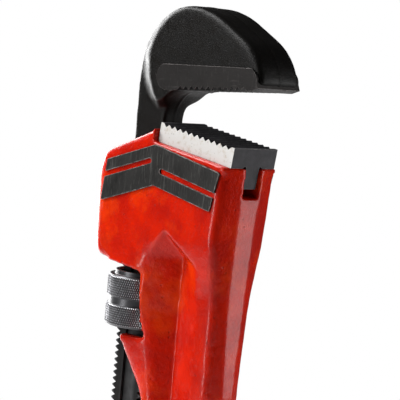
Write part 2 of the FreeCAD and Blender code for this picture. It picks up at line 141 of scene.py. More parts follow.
# The thread's profile over one pitch, and the groove along each flat.
THREAD_PROFILE = (
    (0.0, THREAD_ROOT), (0.36, THREAD_CREST - 0.12), (0.42, THREAD_CREST),
    (0.53, THREAD_CREST), (0.59, THREAD_CREST - 0.12), (0.95, THREAD_ROOT))
THREAD_STEPS = 96
GROOVE_EDGE = 3.6
GROOVE_INSIDE = 3.5
GROOVE_RIM = 0.3
GROOVE_DEPTH = 1.2

# Azimuth, elevation, distance, width, height and power of each light.
LIGHTS = {
    "key_softbox": (-52.0, 42.0, 1.0, 0.45, 0.45, 14.5),
    "edge_strip": (-24.0, 8.0, 1.0, 0.08, 0.9, 5.0),
    "left_back_softbox": (-102.0, 8.0, 0.9, 0.44, 0.9, 10.0),
    "right_back_strip": (134.0, -2.0, 0.9, 0.34, 0.8, 5.5),
    "top_softbox": (20.0, 80.0, 0.9, 0.6, 0.6, 0.8),
}


# ---- Mesh helpers ------------------------------------------------------------------
def add_object(name, bm, finishes, body=None, cad=(), sharp_deg=None):
    """Put a finished bmesh in the scene as a piece riding on a CAD body."""
    mesh = bpy.data.meshes.new(name)
    bm.to_mesh(mesh)
    bm.free()
    if "custom_normal" in mesh.attributes:
        mesh.attributes.remove(mesh.attributes["custom_normal"])
    mesh.shade_smooth()
    if sharp_deg is not None:
        mesh.set_sharp_from_angle(angle=math.radians(sharp_deg))
    mesh.materials.clear()
    for finish in finishes:
        mesh.materials.append(finish)
    piece = bpy.data.objects.new(name, mesh)
    bpy.context.scene.collection.objects.link(piece)
    if body:
        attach(piece, body)
    if cad:
        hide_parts(*cad)
    if sharp_deg is not None:
        even = piece.modifiers.new("Even light", "WEIGHTED_NORMAL")
        even.mode = "FACE_AREA"
        even.keep_sharp = True
    return piece


def merged_cad(node):
    """A CAD node's mesh with its loose triangles joined."""
    bm = bmesh.new()
    bm.from_mesh(frame["nodes"][node].data)
    for face in bm.faces:
        face.material_index = 0
    bmesh.ops.remove_doubles(bm, verts=bm.verts, dist=1e-6)
    return bm


def flat_faces(bm):
    bmesh.ops.dissolve_limit(bm, angle_limit=math.radians(0.6), verts=bm.verts, edges=bm.edges,
                             use_dissolve_boundaries=False)


def everything(bm):
    return list(bm.verts) + list(bm.edges) + list(bm.faces)


def arc_points(centre, radius, start_deg, step_deg, count):
    """Points along an arc, as pairs."""
    points = []
    for step in range(count):
        turn = math.radians(start_deg + step * step_deg)
        points.append((centre[0] + radius * math.cos(turn), centre[1] + radius * math.sin(turn)))
    return points


def bevel_sharp(bm, width_mm, segments=2, limit_deg=28.0):
    """Round every edge sharper than a limit."""
    limit = math.radians(limit_deg)
    edges = [e for e in bm.edges if len(e.link_faces) == 2 and e.calc_face_angle(0.0) > limit]
    bmesh.ops.bevel(bm, geom=edges, offset=width_mm * MM, offset_type="OFFSET", segments=segments,
                    profile=0.5, affect="EDGES", clamp_overlap=True, material=-1)


def cut(bm, point_mm, normal, matrix=None, fill=True):
    """Remove what lies on a plane's normal side, and close the cut unless told not to."""
    point = Vector(point_mm) * MM
    normal = Vector(normal)
    if matrix is not None:
        normal = (matrix.to_3x3() @ normal).normalized()
        point = matrix @ point
    made = bmesh.ops.bisect_plane(bm, geom=everything(bm), dist=1e-7, plane_co=point, plane_no=normal,
                                  clear_outer=True, clear_inner=False)
    if fill:
        rim = [e for e in made["geom_cut"] if isinstance(e, bmesh.types.BMEdge) and e.is_boundary]
        bmesh.ops.triangle_fill(bm, edges=rim, use_beauty=True, use_dissolve=True)


def even_skin(bm, size_mm):
    """The solid's surface remade from even small faces."""
    rough = bpy.data.meshes.new("rough")
    bm.to_mesh(rough)
    bm.free()
    blank = bpy.data.objects.new("rough", rough)
    bpy.context.scene.collection.objects.link(blank)
    skin = blank.modifiers.new("Even skin", "REMESH")
    skin.mode = "VOXEL"
    skin.voxel_size = size_mm * MM
    graph = bpy.context.evaluated_depsgraph_get()
    even = bpy.data.meshes.new_from_object(blank.evaluated_get(graph))
    made = bmesh.new()
    made.from_mesh(even)
    bpy.data.objects.remove(blank)
    bpy.data.meshes.remove(rough)
    bpy.data.meshes.remove(even)
    return made


def relax(bm, verts, times):
    for _ in range(times):
        bmesh.ops.smooth_vert(bm, verts=verts, factor=0.5, use_axis_x=True,
                              use_axis_y=True, use_axis_z=True)


def cast_lumps(bm, size_mm, height_mm):
    """Raise and lower a cast surface a little, without a repeat."""
    bm.normal_update()
    moves = [v.normal * (noise.noise(v.co / (size_mm * MM)) * height_mm * MM) for v in bm.verts]
    for vert, move in zip(bm.verts, moves):
        vert.co += move


# ---- Node helpers ------------------------------------------------------------------
class Wiring:
    """A node tree that is being filled in."""

    def __init__(self, tree):
        self.tree = tree
        tree.nodes.clear()

    def add(self, kind, values=None, **settings):
        node = self.tree.nodes.new(kind)
        for name, value in settings.items():
            setattr(node, name, value)
        for socket, value in (values or {}).items():
            if isinstance(value, bpy.types.NodeSocket):
                self.tree.links.new(value, node.inputs[socket])
            else:
                node.inputs[socket].default_value = value
        return node

    def math(self, operation, first, second=0.0):
        return self.add("ShaderNodeMath", {0: first, 1: second}, operation=operation).outputs[0]

    def ramp(self, value, low, high, out_low=0.0, out_high=1.0):
        """The value's range from low to high, spread over another range."""
        node = self.add("ShaderNodeMapRange", {"Value": value, "From Min": low, "From Max": high,
                                               "To Min": out_low, "To Max": out_high})
        return node.outputs["Result"]

    def blend(self, factor, first, second):
        node = self.add("ShaderNodeMix", {0: factor, 6: first, 7: second}, data_type="RGBA")
        return node.outputs[2]

    def noise(self, vector, scale, detail=3.0, roughness=0.55):
        node = self.add("ShaderNodeTexNoise", {"Vector": vector, "Scale": scale, "Detail": detail,
                                               "Roughness": roughness})
        return node.outputs["Fac"]

    def stretched(self, vector, scale):
        node = self.add("ShaderNodeVectorMath", {0: vector, 1: scale}, operation="MULTIPLY")
        return node.outputs[0]


def new_group(name, inputs, outputs):
    """A shader node group with float or vector inputs and float outputs."""
    group = bpy.data.node_groups.new(name, "ShaderNodeTree")
    for label, value in inputs:
        is_vector = label == "Vector" or isinstance(value, tuple)
        kind = "NodeSocketVector" if is_vector else "NodeSocketFloat"
        socket = group.interface.new_socket(label, in_out="INPUT", socket_type=kind)
        if value is not None:
            socket.default_value = value
    for label in outputs:
        group.interface.new_socket(label, in_out="OUTPUT", socket_type="NodeSocketFloat")
    wires = Wiring(group)
    return group, wires, wires.add("NodeGroupInput").outputs


def cast_skin_group():
    """Orange peel, wide patches and small pits of a painted or bare casting."""
    group, wires, given = new_group(
        "cast_skin", [("Vector", None), ("Grain", 600.0), ("Pits", 0.3)],
        ["Height", "Patches", "Specks"])
    peel = wires.noise(given["Vector"], given["Grain"], 2.0)
    fine = wires.noise(given["Vector"], wires.math("MULTIPLY", given["Grain"], 2.6), 2.0)
    wide = wires.noise(given["Vector"], wires.math("MULTIPLY", given["Grain"], 0.11), 5.0, 0.6)
    cells = wires.add("ShaderNodeTexVoronoi", {
        "Vector": given["Vector"], "Scale": wires.math("MULTIPLY", given["Grain"], 0.55)})
    rare = wires.add("ShaderNodeSeparateColor", {0: cells.outputs["Color"]}).outputs[0]
    dot = wires.math("MULTIPLY", wires.ramp(cells.outputs["Distance"], 0.22, 0.08),
                     wires.ramp(rare, 0.80, 0.86))
    height = wires.math("ADD", wires.math("MULTIPLY", peel, 0.7), wires.math("MULTIPLY", fine, 0.3))
    height = wires.math("SUBTRACT", height, wires.math("MULTIPLY", dot, given["Pits"]))
    wires.add("NodeGroupOutput", {"Height": height, "Patches": wires.ramp(wide, 0.38, 0.66),
                                  "Specks": dot})
    return group


def fine_scratches_group():
    """Thin scratches in one main direction and a few across it."""
    group, wires, given = new_group(
        "fine_scratches", [("Vector", None), ("Along", (30.0, 30.0, 900.0)),
                           ("Across", (700.0, 700.0, 90.0)), ("Share", 0.5)],
        ["Mask", "Grain"])
    along = wires.noise(wires.stretched(given["Vector"], given["Along"]), 1.0, 3.0, 0.7)
    across = wires.noise(wires.stretched(given["Vector"], given["Across"]), 1.0, 2.0, 0.6)
    low = wires.ramp(given["Share"], 0.0, 1.0, 0.74, 0.52)
    high = wires.math("ADD", low, 0.10)
    lines = wires.add("ShaderNodeMapRange", {"Value": along, "From Min": low, "From Max": high})
    crossing = wires.add("ShaderNodeMapRange", {
        "Value": across, "From Min": wires.math("ADD", low, 0.05),
        "From Max": wires.math("ADD", high, 0.05)})
    mask = wires.math("MAXIMUM", lines.outputs["Result"], crossing.outputs["Result"])
    wires.add("NodeGroupOutput", {"Mask": mask, "Grain": along})
    return group


def edge_wear_group():
    """Where an edge or corner is rubbed, broken up by noise."""
    group, wires, given = new_group(
        "edge_wear", [("Vector", None), ("Width", 0.0005), ("Amount", 0.7), ("Breakup", 500.0)],
        ["Mask"])
    # A rounded normal differs from the true one only near an edge.
    rounded = wires.add("ShaderNodeBevel", {"Radius": given["Width"]}, samples=6)
    true = wires.add("ShaderNodeNewGeometry")
    dot = wires.add("ShaderNodeVectorMath", {0: rounded.outputs[0], 1: true.outputs["Normal"]},
                    operation="DOT_PRODUCT").outputs["Value"]
    rubbed = wires.ramp(dot, 0.995, 0.90)
    broken = wires.ramp(wires.noise(given["Vector"], given["Breakup"], 4.0, 0.65), 0.35, 0.62)
    mask = wires.math("MULTIPLY", wires.math("MULTIPLY", rubbed, broken), given["Amount"])
    wires.add("NodeGroupOutput", {"Mask": mask})
    return group


def new_material(name):
    material = bpy.data.materials.new(name)
    material.use_nodes = True
    return material, Wiring(material.node_tree)


def close_material(wires, sockets, height, strength, distance_mm):
    """Join a height and the surface values to one Principled surface."""
    bump = wires.add("ShaderNodeBump", {"Height": height, "Strength": strength,
                                        "Distance": distance_mm * MM})
    values = dict(sockets)
    values["Normal"] = bump.outputs["Normal"]
    surface = wires.add("ShaderNodeBsdfPrincipled", values)
    wires.add("ShaderNodeOutputMaterial", {"Surface": surface.outputs["BSDF"]})


def group_node(wires, group, **values):
    node = wires.add("ShaderNodeGroup", node_tree=group)
    for label, value in values.items():
        if isinstance(value, bpy.types.NodeSocket):
            wires.tree.links.new(value, node.inputs[label])
        else:
            node.inputs[label].default_value = value
    return node.outputs


def opaque(colour):
    return tuple(colour) + (1.0,)


# ---- Finishes ----------------------------------------------------------------------
def red_enamel(groups, sizes):
    """Thick glossy enamel over a sand casting."""
    material, wires = new_material("enamel_paint")
    place = wires.add("ShaderNodeTexCoord").outputs["Object"]
    skin = group_node(wires, groups["cast_skin"], Vector=place, Grain=sizes.peel_grain, Pits=0.5)
    thin = wires.noise(place, 38.0, 5.0, 0.62)
    colour = wires.blend(skin["Patches"], opaque(sizes.enamel_deep), opaque(sizes.enamel))
    colour = wires.blend(wires.ramp(thin, 0.50, 0.70, 0.0, 0.75), colour,
                         opaque(sizes.enamel_thin))
    colour = wires.blend(wires.math("MULTIPLY", skin["Specks"], 0.35), colour,
                         (0.10, 0.006, 0.003, 1.0))
    rough = wires.ramp(skin["Patches"], 0.0, 1.0, 0.30, 0.22)
    close_material(wires, {
        "Base Color": colour, "Roughness": rough, "Coat Weight": 0.30, "Coat Roughness": 0.16,
        "Specular IOR Level": 0.05}, skin["Height"], 0.75, 0.55)
    return material


def black_oxide(groups, sizes):
    """Satin black heat-treated forging."""
    material, wires = new_material("oxide_skin")
    place = wires.add("ShaderNodeTexCoord").outputs["Object"]
    skin = group_node(wires, groups["cast_skin"], Vector=place, Grain=1700.0, Pits=0.6)
    wear = group_node(wires, groups["edge_wear"], Vector=place, Width=0.0006, Amount=0.55,
                      Breakup=420.0)
    colour = wires.blend(skin["Patches"], opaque(sizes.oxide),
                         opaque(c * 1.9 for c in sizes.oxide))
    sparkle = wires.ramp(wires.noise(place, 1500.0, 2.0, 0.7), 0.60, 0.80, 0.0, 0.22)
    colour = wires.blend(sparkle, colour, (0.055, 0.045, 0.036, 1.0))
    colour = wires.blend(wear["Mask"], colour, (0.10, 0.095, 0.09, 1.0))
    rough = wires.ramp(skin["Patches"], 0.0, 1.0, 0.44, 0.34)
    close_material(wires, {
        "Base Color": colour, "Roughness": rough,
        "Metallic": wires.ramp(wear["Mask"], 0.0, 1.0, 0.0, 0.9),
        "Specular IOR Level": 0.12}, skin["Height"], 0.60, 0.26)
    return material


def scraped_steel(name, groups, dark, light, scratch_along, scratch_share, roughness, wear_width):
    """Machined dark steel with scratches and rubbed edges."""
    material, wires = new_material(name)
    place = wires.add("ShaderNodeTexCoord").outputs["Object"]
    marks = group_node(wires, groups["fine_scratches"], Vector=place, Along=scratch_along,
                       Across=(2200.0, 2200.0, 240.0), Share=scratch_share)
    rubbed = wires.ramp(wires.noise(place, 34.0, 2.0, 0.5), 0.52, 0.66, 0.0, 1.0)
    wear = group_node(wires, groups["edge_wear"], Vector=place, Width=wear_width, Amount=0.95,
                      Breakup=380.0)
    cloudy = wires.noise(place, 160.0, 4.0, 0.6)
    tone = wires.math("MAXIMUM", wires.math("MULTIPLY", marks["Mask"], 0.16), wear["Mask"])
    haze = wires.ramp(cloudy, 0.30, 0.75, 0.0, 0.36)
    tone = wires.math("ADD", tone, wires.math("MULTIPLY", haze, rubbed))
    colour = wires.blend(tone, dark, light)
    rough = wires.ramp(cloudy, 0.3, 0.7, roughness, roughness + 0.14)
    close_material(wires, {"Base Color": colour, "Roughness": rough, "Metallic": 0.85},
                   marks["Grain"], 0.22, 0.06)
    return material


def heel_steel(groups):
    """Ground bright flanks, black heat scale on the top, front and stem."""
    material, wires = new_material("heel_metal")
    place = wires.add("ShaderNodeTexCoord").outputs["Object"]
    skin = group_node(wires, groups["cast_skin"], Vector=place, Grain=1500.0, Pits=0.9)
    marks = group_node(wires, groups["fine_scratches"], Vector=place,
                       Along=(60.0, 60.0, 1100.0), Across=(900.0, 900.0, 160.0), Share=0.45)
    wear = group_node(wires, groups["edge_wear"], Vector=place, Width=0.0004, Amount=0.9,
                      Breakup=600.0)
    normal = wires.add("ShaderNodeNewGeometry").outputs["True Normal"]
    facing = wires.add("ShaderNodeSeparateXYZ", {0: normal})
    side = wires.ramp(wires.math("ABSOLUTE", facing.outputs["Y"]), 0.80, 0.90)
    width = wires.add("ShaderNodeSeparateXYZ", {0: place}).outputs["Y"]
    outer = wires.ramp(wires.math("ABSOLUTE", width), 0.0121, 0.0123)
    ground = wires.math("MULTIPLY", side, outer)
    bright = wires.blend(wires.math("MULTIPLY", marks["Mask"], 0.6),
                         (0.58, 0.57, 0.55, 1.0), (0.36, 0.35, 0.34, 1.0))
    stain = wires.ramp(wires.noise(place, 320.0, 6.0, 0.72), 0.52, 0.66, 0.0, 0.7)
    bright = wires.blend(stain, bright, (0.40, 0.33, 0.24, 1.0))
    bright = wires.blend(skin["Specks"], bright, (0.12, 0.11, 0.10, 1.0))
    scale = wires.blend(skin["Patches"], (0.016, 0.015, 0.018, 1.0), (0.034, 0.032, 0.037, 1.0))
    scale = wires.blend(wear["Mask"], scale, (0.32, 0.31, 0.30, 1.0))
    colour = wires.blend(ground, scale, bright)
    rough = wires.ramp(ground, 0.0, 1.0, 0.62, 0.42)
    close_material(wires, {
        "Base Color": colour, "Roughness": rough, "Specular IOR Level": 0.3,
        "Metallic": wires.ramp(ground, 0.0, 1.0, 0.0, 0.25)}, skin["Height"], 0.40, 0.16)
    return material


def crested_steel(name, groups, valley, crest, roughness):
    """Dark steel whose knurl points or thread crests are lighter: partly rubbed wear, partly a painted
    highlight on the crests.
    """
    material, wires = new_material(name)
    place = wires.add("ShaderNodeTexCoord").outputs["Object"]
    high = wires.add("ShaderNodeAttribute", attribute_name="crest").outputs["Fac"]
    cloudy = wires.noise(place, 240.0, 4.0, 0.6)
    skin = group_node(wires, groups["cast_skin"], Vector=place, Grain=1800.0, Pits=0.5)
    # Crest mask: rubbed wear together with a painted highlight on the knurl points and thread crests.
    rubbed = wires.math("MULTIPLY", wires.ramp(high, 0.25, 1.0),
                        wires.ramp(cloudy, 0.25, 0.60, 0.35, 1.0))
    colour = wires.blend(rubbed, valley, crest)
    rough = wires.ramp(cloudy, 0.3, 0.7, roughness, roughness + 0.12)
    close_material(wires, {"Base Color": colour, "Roughness": rough, "Metallic": 0.85},
                   skin["Height"], 0.25, 0.06)
    return material


# ---- Sizes and colours -----------------------------------------------------------------
class WrenchFinish(bpy.types.PropertyGroup):
    enamel: FloatVectorProperty(
        name="Enamel", description="Colour of the thick enamel", size=3, subtype="COLOR",
        default=(0.54, 0.011, 0.0002))
    enamel_deep: FloatVectorProperty(
        name="Deep enamel", description="Colour where the enamel is thickest", size=3,
        subtype="COLOR", default=(0.38, 0.005, 0.0002))
    enamel_thin: FloatVectorProperty(
        name="Thin enamel", description="Colour where the enamel is thin", size=3,
        subtype="COLOR", default=(0.70, 0.046, 0.0008))
    oxide: FloatVectorProperty(
        name="Oxide", description="Colour of the black forging", size=3, subtype="COLOR",
        default=(0.0020, 0.0016, 0.0013))
    peel_grain: FloatProperty(
        name="Peel grain", description="Fineness of the enamel's orange peel, per metre",
        default=620.0, min=50.0)


class WrenchCasting(bpy.types.PropertyGroup):
    skin_mm: FloatProperty(
        name="Skin", description="Face size of the cast surface, in millimetres", default=0.75, min=0.4)
    cast_rounding: IntProperty(
        name="Cast rounding", description="How far every cast edge is rounded", default=6, min=0)
    outer_rounding: IntProperty(
        name="Outer rounding", description="How much more the outer edges are rounded", default=46, min=0)
    machined_rounding: IntProperty(
        name="Machined rounding", description="How far the machined edges are rounded", default=3, min=0)
    lump_mm: FloatProperty(
        name="Lumps", description="Height of the casting's unevenness, in millimetres", default=0.10)


class WrenchMovingJaw(bpy.types.PropertyGroup):
    skin_mm: FloatProperty(
        name="Skin", description="Face size of the forged surface, in millimetres", default=0.55, min=0.3)
    head_rounding: IntProperty(
        name="Head rounding", description="How far the head's edges are rounded", default=16, min=0)
    neck_rounding: IntProperty(
        name="Neck rounding", description="How far the neck's edges are rounded", default=8, min=0)


class WrenchNut(bpy.types.PropertyGroup):
    radius_mm: FloatProperty(
        name="Radius", description="Radius over the knurl, in millimetres", default=16.9)
    knurls: IntProperty(
        name="Knurls", description="Knurl points around the nut", default=104, min=12)
    knurl_depth_mm: FloatProperty(
        name="Knurl depth", description="Depth of the knurl, in millimetres", default=0.36)


def finishes():
    return bpy.data.materials


# ---- Pieces ----------------------------------------------------------------------------
class WRENCH_OT_finishes(bpy.types.Operator):
    """Make the finishes that the pieces share"""
    bl_idname = "wrench.finishes"
    bl_label = "Finishes"

    def execute(self, context):
        sizes = context.scene.wrench_finish
        groups = {"cast_skin": cast_skin_group(), "fine_scratches": fine_scratches_group(),
                  "edge_wear": edge_wear_group()}
        red_enamel(groups, sizes)
        black_oxide(groups, sizes)
        heel_steel(groups)
        scraped_steel("chevron_metal", groups, (0.028, 0.027, 0.026, 1.0), (0.36, 0.35, 0.33, 1.0),
                      (1500.0, 1500.0, 70.0), 0.75, 0.36, 0.0007)
        scraped_steel("milled_metal", groups, (0.016, 0.0145, 0.014, 1.0), (0.16, 0.145, 0.14, 1.0),
                      (80.0, 80.0, 1200.0), 0.65, 0.42, 0.0004)
        scraped_steel("spring_metal", groups, (0.16, 0.16, 0.17, 1.0), (0.50, 0.50, 0.50, 1.0),
                      (900.0, 60.0, 60.0), 0.5, 0.30, 0.0002)
        scraped_steel("pin_metal", groups, (0.06, 0.058, 0.055, 1.0), (0.32, 0.31, 0.30, 1.0),
                      (900.0, 60.0, 900.0), 0.5, 0.35, 0.0002)
        # The light crest colours are partly worn steel and partly a painted highlight on the knurl points
        # and thread crests.
        crested_steel("knurl_metal", groups, (0.065, 0.065, 0.069, 1.0), (0.72, 0.72, 0.75, 1.0), 0.30)
        crested_steel("thread_metal", groups, (0.014, 0.013, 0.013, 1.0), (0.12, 0.12, 0.125, 1.0), 0.36)
        return {"FINISHED"}


class WRENCH_OT_handle(bpy.types.Operator):
    """The red cast handle with its raised chevrons"""
    bl_idname = "wrench.handle"
    bl_label = "Handle"

    def execute(self, context):
        sizes = context.scene.wrench_casting
        self.casting(sizes)
        self.chevrons()
        return {"FINISHED"}

    def casting(self, sizes):
        """The cast body with soft outer edges and crisp machined places."""
        bm = merged_cad("handle_body")
        half = HEAD_HALF * MM
        for vert in bm.verts:
            vert.co.y = max(-half, min(half, vert.co.y))
        bm = even_skin(bm, sizes.skin_mm)
        seat = Vector((SEAT_BACK[0], 0.0, SEAT_BACK[1])) * MM
        up = Vector((math.sin(SEAT_SLOPE), 0.0, math.cos(SEAT_SLOPE)))
        machined, cast, outer = [], [], []
        for vert in bm.verts:
            x, y, z = vert.co / MM
            height = (vert.co - seat).dot(up) / MM
            on_seat = height > SEAT_SKIN and x > SEAT_BACK_X
            slot = abs(y) < SLOT_HALF and height > SLOT_FLOOR and x > SLOT_BACK_X
            channel = abs(y) < CHANNEL_HALF and z > CHANNEL_FLOOR_Z and x < SLOT_BACK_X
            from_nut = math.hypot(x - NUT_CENTRE.x / MM, y)
            pocket = POCKET_Z[0] < z < POCKET_Z[1] and from_nut < POCKET_R
            if on_seat or slot or channel or pocket:
                machined.append(vert)
                continue
            cast.append(vert)
            recessed = RECESS_X[0] < x < RECESS_X[1] and z < RECESS_TOP_Z
            if not recessed and (abs(y) > FLANK_HALF or x < HEAD_BACK_X):
                outer.append(vert)
        relax(bm, machined, sizes.machined_rounding)
        relax(bm, cast, sizes.cast_rounding)
        relax(bm, outer, sizes.outer_rounding)
        cast_lumps(bm, 9.0, sizes.lump_mm)
        cast_lumps(bm, 2.6, sizes.lump_mm * 0.45)
        add_object("handle_casting", bm, [finishes()["enamel_paint"]],
                   "handle", ["handle_body"])

    def chevrons(self):
        """The two bare pads, cut off the casting's sides and closed inside it."""
        for name, side in (("chevron_near", -1.0), ("chevron_far", 1.0)):
            bm = merged_cad("handle_body")
            cut(bm, (0.0, side * (HEAD_HALF + PAD_CLEAR), 0.0), (0.0, -side, 0.0), fill=False)
            flat_faces(bm)
            rim = [e for e in bm.edges if e.is_boundary]
            sunk = bmesh.ops.extrude_edge_only(bm, edges=rim)
            for vert in sunk["geom"]:
                if isinstance(vert, bmesh.types.BMVert):
                    vert.co.y -= side * PAD_SUNK * MM
            rim = [e for e in bm.edges if e.is_boundary]
            bmesh.ops.contextual_create(bm, geom=rim)
            bmesh.ops.recalc_face_normals(bm, faces=bm.faces)
            bevel_sharp(bm, 0.28, 3)
            add_object(name, bm, [finishes()["chevron_metal"]], "handle",
                       sharp_deg=40)


class WRENCH_OT_moving_jaw(bpy.types.Operator):
    """The black moving jaw: forged head and neck, milled bands, threaded shank"""
    bl_idname = "wrench.moving_jaw"
    bl_label = "Moving jaw"

    def execute(self, context):
        self.forging(context.scene.wrench_moving_jaw)
        self.bands()
        self.shank()
        return {"FINISHED"}

    def flare_half(self, x, z):
        """Half width of the forging where the thin neck swells into the wide head."""
        if z < STEP_LINE[-1][1]:
            for (x0, z0), (x1, z1) in zip(STEP_LINE, STEP_LINE[1:]):
                if z <= z1:
                    break
            inside = min(x - (x0 + (x1 - x0) * (z - z0) / (z1 - z0)),
                         z - STEP_FOOT[1] + STEP_FOOT_FALL * (x - STEP_FOOT[0]))
        else:
            inside = STEP_R - math.hypot(x - STEP_CENTRE[0], z - STEP_CENTRE[1])
        forward = min(1.0, max(0.0, (x - FLARE_BACK_X) / FLARE_RUN))
        reach = FLARE_BACK + (FLARE_FRONT - FLARE_BACK) * forward
        share = min(1.0, max(0.0, 0.5 + 0.5 * inside / reach))
        above = z - CHANNEL_TOP[1] - CHANNEL_RISE * (x - CHANNEL_TOP[0])
        share = min(share, min(1.0, max(0.0, above / CHANNEL_FADE)))
        share = share * share * (3.0 - 2.0 * share)
        return SHANK_HALF + (HEAD_CAST_HALF - SHANK_HALF) * share

    def forging(self, sizes):
        """The head and neck, narrowed, re-skinned and rounded more towards the head."""
        bm = merged_cad("hook_jaw")
        cut(bm, (0.0, 0.0, NECK_LOW), (0.0, 0.0, -1.0), SHANK)
        bm = even_skin(bm, sizes.skin_mm)
        to_own = SHANK.inverted()
        slope = math.tan(JAW_SLOPE)
        for vert in bm.verts:
            own = (to_own @ vert.co) / MM
            line = JAW_LINE[1] + (own.x - JAW_LINE[0]) * slope
            if own.x > JAW_LINE[0] - 1.5 and own.z - line < TOOTH_DEPTH + 0.7:
                own.z = line + TOOTH_DEPTH + 0.7
            side = min(HEAD_CAST_HALF, abs(own.y))
            if own.z > 78.0 and own.x < CROWN[0]:
                half = self.flare_half(own.x, own.z)
                side = half if abs(side - SHANK_HALF) < 0.45 else min(side, half)
            own.y = math.copysign(side, own.y)
            vert.co = SHANK @ (own * MM)
        bm = even_skin(bm, sizes.skin_mm)
        relax(bm, bm.verts, sizes.neck_rounding)
        for back, low in ((CROWN[0] - 8.0, 98.0), (CROWN[0], 99.0), (CROWN[0] + 8.0, 100.0)):
            head = []
            for vert in bm.verts:
                own = (to_own @ vert.co) / MM
                if own.x > back and own.z > low:
                    head.append(vert)
            relax(bm, head, sizes.head_rounding)
        relax(bm, bm.verts, 4)
        self.parting_ridge(bm, to_own)
        cast_lumps(bm, 7.0, 0.07)
        cast_lumps(bm, 2.2, 0.03)
        add_object("jaw_forging", bm, [finishes()["oxide_skin"]], "moving_jaw",
                   ["hook_jaw"])

    def parting_ridge(self, bm, to_own):
        """The low ridge that the forging dies leave along the middle of the outer edge."""
        bm.normal_update()
        for vert in bm.verts:
            if abs(vert.normal.y) < 0.35:
                ridge = math.exp(-(vert.co.y / (0.55 * MM)) ** 2)
                vert.co += vert.normal * (0.22 * MM * ridge)

    def bands(self):
        """The milled side bands and the teeth between them, cut from one outline."""
        slope = math.tan(JAW_SLOPE)

        def line(x):
            return JAW_LINE[1] + (x - JAW_LINE[0]) * slope

        throat = (JAW_LINE[0], JAW_LINE[1] - THROAT_R)
        corners = arc_points(throat, THROAT_R, 110.0, -6.0, 4)
        corners[-1] = (TOOTH_FIRST - TOOTH_PITCH / 2.0, line(TOOTH_FIRST - TOOTH_PITCH / 2.0))
        for tooth in range(TOOTH_COUNT):
            x = TOOTH_FIRST + tooth * TOOTH_PITCH
            corners.append((x, line(x) + TOOTH_DEPTH))
            x += TOOTH_PITCH / 2.0
            corners.append((x, line(x)))
        bevel_start = JAW_TIP[0] - 5.6
        corners.append((bevel_start, line(bevel_start)))
        corners.append((JAW_TIP[0] - 1.3, JAW_TIP[1] - 0.6))
        top_back = (9.5, JAW_LINE[1] + 10.6)
        top_front = (JAW_TIP[0] - 3.4, JAW_LINE[1] + 12.6)
        front_r = 5.6
        back_r = 5.5
        corners += arc_points((top_front[0] - 4.6, top_front[1] - front_r), front_r, 0.0, 15.0, 6)
        corners += arc_points((top_back[0] + back_r, top_back[1] - back_r), back_r, 90.0, 18.0, 6)
        corners += [(top_back[0] + 0.4, 99.0), (top_back[0] + 2.6, 96.6), (top_back[0] + 6.0, 95.4)]
        bm = bmesh.new()
        verts = [bm.verts.new(SHANK @ (Vector((x, -BAND_HALF, z)) * MM)) for x, z in corners]
        face = bm.faces.new(verts)
        made = bmesh.ops.extrude_face_region(bm, geom=[face])
        moved = [v for v in made["geom"] if isinstance(v, bmesh.types.BMVert)]
        bmesh.ops.translate(bm, vec=(0.0, 2 * BAND_HALF * MM, 0.0), verts=moved)
        bmesh.ops.recalc_face_normals(bm, faces=bm.faces)
        bevel_sharp(bm, 0.22, 2, 40.0)
        add_object("jaw_tooth_bands", bm, [finishes()["milled_metal"]], "moving_jaw",
                   sharp_deg=35)

    def shank(self):
        """A true helical thread, flattened on both sides, with a groove along each flat."""
        bm = bmesh.new()
        crest_layer = bm.verts.layers.float.new("crest")
        turns = int((NECK_LOW + 1.0 - THREAD_LOW) / THREAD_PITCH) + 3
        last = None
        for turn in range(turns):
            for share, radius in THREAD_PROFILE:
                z = THREAD_LOW + (turn + share - 1.5) * THREAD_PITCH
                vert = bm.verts.new(Vector((radius, 0.0, z)) * MM)
                vert[crest_layer] = 1.0 if radius > THREAD_CREST - 0.2 else 0.0
                if last:
                    bm.edges.new((last, vert))
                last = vert
        bmesh.ops.spin(bm, geom=list(bm.verts) + list(bm.edges), cent=(0, 0, 0), axis=(0, 0, 1),
                       dvec=(0.0, 0.0, THREAD_PITCH * MM / THREAD_STEPS), angle=2 * math.pi,
                       steps=THREAD_STEPS, use_merge=False, use_duplicate=False)
        bmesh.ops.remove_doubles(bm, verts=bm.verts, dist=2e-6)
        bmesh.ops.recalc_face_normals(bm, faces=bm.faces)
        cut(bm, (0, 0, NECK_LOW + 1.0), (0, 0, 1))
        cut(bm, (0, 0, THREAD_LOW), (0, 0, -1))
        cut(bm, (0, SHANK_HALF, 0), (0, 1, 0))
        cut(bm, (0, -SHANK_HALF, 0), (0, -1, 0))
        for x in (-GROOVE_EDGE, GROOVE_EDGE):
            bmesh.ops.bisect_plane(bm, geom=everything(bm), dist=1e-7,
                                   plane_co=(x * MM, 0, 0), plane_no=(1, 0, 0))
        flats = [f for f in bm.faces if abs(f.normal.y) > 0.99
                 and abs(f.calc_center_median().x) < GROOVE_INSIDE * MM]
        bmesh.ops.inset_region(bm, faces=flats, thickness=GROOVE_RIM * MM, depth=-GROOVE_DEPTH * MM,
                               use_even_offset=True, use_boundary=True)
        bmesh.ops.recalc_face_normals(bm, faces=bm.faces)
        bmesh.ops.transform(bm, matrix=SHANK, verts=bm.verts)
        add_object("jaw_thread", bm, [finishes()["thread_metal"]], "moving_jaw",
                   sharp_deg=32)


